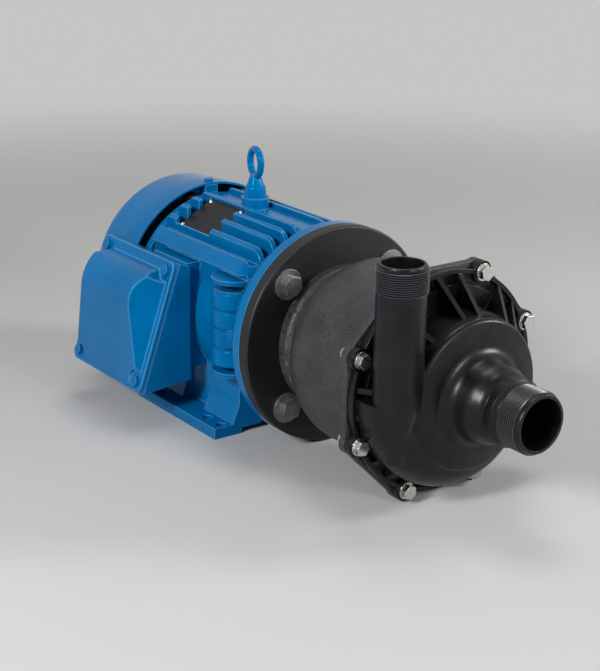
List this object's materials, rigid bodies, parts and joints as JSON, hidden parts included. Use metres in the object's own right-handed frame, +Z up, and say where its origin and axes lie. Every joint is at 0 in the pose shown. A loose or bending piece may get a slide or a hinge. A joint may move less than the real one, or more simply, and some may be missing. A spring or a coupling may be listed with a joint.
{
  "type": "magnetic drive pump",
  "caption": "Close-coupled magnetic drive pump: finned foot-mounted motor with a side terminal box, flared black bracket, ribbed scroll casing, threaded suction and discharge.",
  "frame": {"origin": "on the floor under the shaft, midway between the foot holes", "axes": "+X along the shaft towards the suction port, +Z up along the discharge pipe, +Y away from the terminal box"},
  "size_m": [0.6084, 0.2776, 0.2833],
  "materials": {
    "motor_paint": "glossy blue enamel on cast iron and sheet steel",
    "black_paint": "satin black paint on steel",
    "bracket_coat": "textured black coating on cast iron",
    "moulded_plastic": "moulded black filled polypropylene",
    "bare_steel": "machined steel",
    "dark_bolts": "dark grey phosphate on steel",
    "stainless": "bright stainless steel",
    "core_steel": "stacked electrical steel",
    "cast_aluminium": "cast aluminium",
    "plate": "black anodised aluminium",
    "winding": "varnished copper wire",
    "magnet": "nickel plated magnets",
    "ceramic": "ground alumina",
    "carbon": "moulded carbon",
    "rubber": "moulded rubber",
    "fan_plastic": "moulded polypropylene"
  },
  "bodies": {
    "stator": {"motor_frame": "motor_paint", "front_end_shield": "motor_paint", "rear_end_shield": "motor_paint", "fan_cover": "motor_paint", "eyebolt": "motor_paint", "terminal_box": "motor_paint", "box_cover": "motor_paint", "adapter_plate": "black_paint", "drive_bracket": "bracket_coat", "rear_casing": "moulded_plastic", "volute": "moulded_plastic", "front_shield_screws": "bare_steel", "rear_shield_screws": "bare_steel", "drive_bearing_outer": "bare_steel", "fan_bearing_outer": "bare_steel", "preload_spring": "bare_steel", "fan_cover_screws": "bare_steel", "plate_pins": "bare_steel", "box_screws": "bare_steel", "cover_screws": "bare_steel", "bracket_screws": "bare_steel", "face_bolts": "dark_bolts", "face_washers": "dark_bolts", "casing_bolts": "stainless", "casing_washers": "stainless", "casing_nuts": "stainless", "stator_core": "core_steel", "data_plate": "plate", "stator_windings": "winding", "pump_shaft": "ceramic", "rear_thrust_ring": "ceramic", "front_thrust_ring": "ceramic", "mouth_ring": "ceramic", "box_gasket": "rubber", "casing_o_ring": "rubber"},
    "motor_rotor": {"motor_shaft": "bare_steel", "rotor_core": "core_steel", "rotor_end_rings": "cast_aluminium", "shaft_key": "bare_steel", "drive_bearing_inner": "bare_steel", "fan_bearing_inner": "bare_steel", "cooling_fan": "fan_plastic", "outer_drive": "bare_steel", "outer_magnets": "magnet", "hub_set_screws": "bare_steel"},
    "wet_rotor": {"impeller": "moulded_plastic", "inner_drive": "moulded_plastic", "inner_magnets": "magnet", "pump_bushing": "carbon"},
    "drive_balls": {"drive_bearing_balls": "bare_steel"},
    "fan_balls": {"fan_bearing_balls": "bare_steel"}
  },
  "joints": [
    {"name": "motor_spin", "type": "hinge", "parent": "stator", "child": "motor_rotor", "pos_m": [0, 0, 0.1143], "axis": [-1, 0, 0], "continuous": true},
    {"name": "impeller_spin", "type": "hinge", "parent": "stator", "child": "wet_rotor", "pos_m": [0.32, 0, 0.1143], "axis": [-1, 0, 0], "continuous": true},
    {"name": "drive_ball_spin", "type": "hinge", "parent": "stator", "child": "drive_balls", "pos_m": [0.112, 0, 0.1143], "axis": [-1, 0, 0], "continuous": true},
    {"name": "fan_ball_spin", "type": "hinge", "parent": "stator", "child": "fan_balls", "pos_m": [-0.0805, 0, 0.1143], "axis": [-1, 0, 0], "continuous": true}
  ],
  "couplings": [
    {"joint": "impeller_spin", "follows": "motor_spin", "ratio": 1},
    {"joint": "drive_ball_spin", "follows": "motor_spin", "ratio": 0.3977},
    {"joint": "fan_ball_spin", "follows": "motor_spin", "ratio": 0.3969}
  ]
}
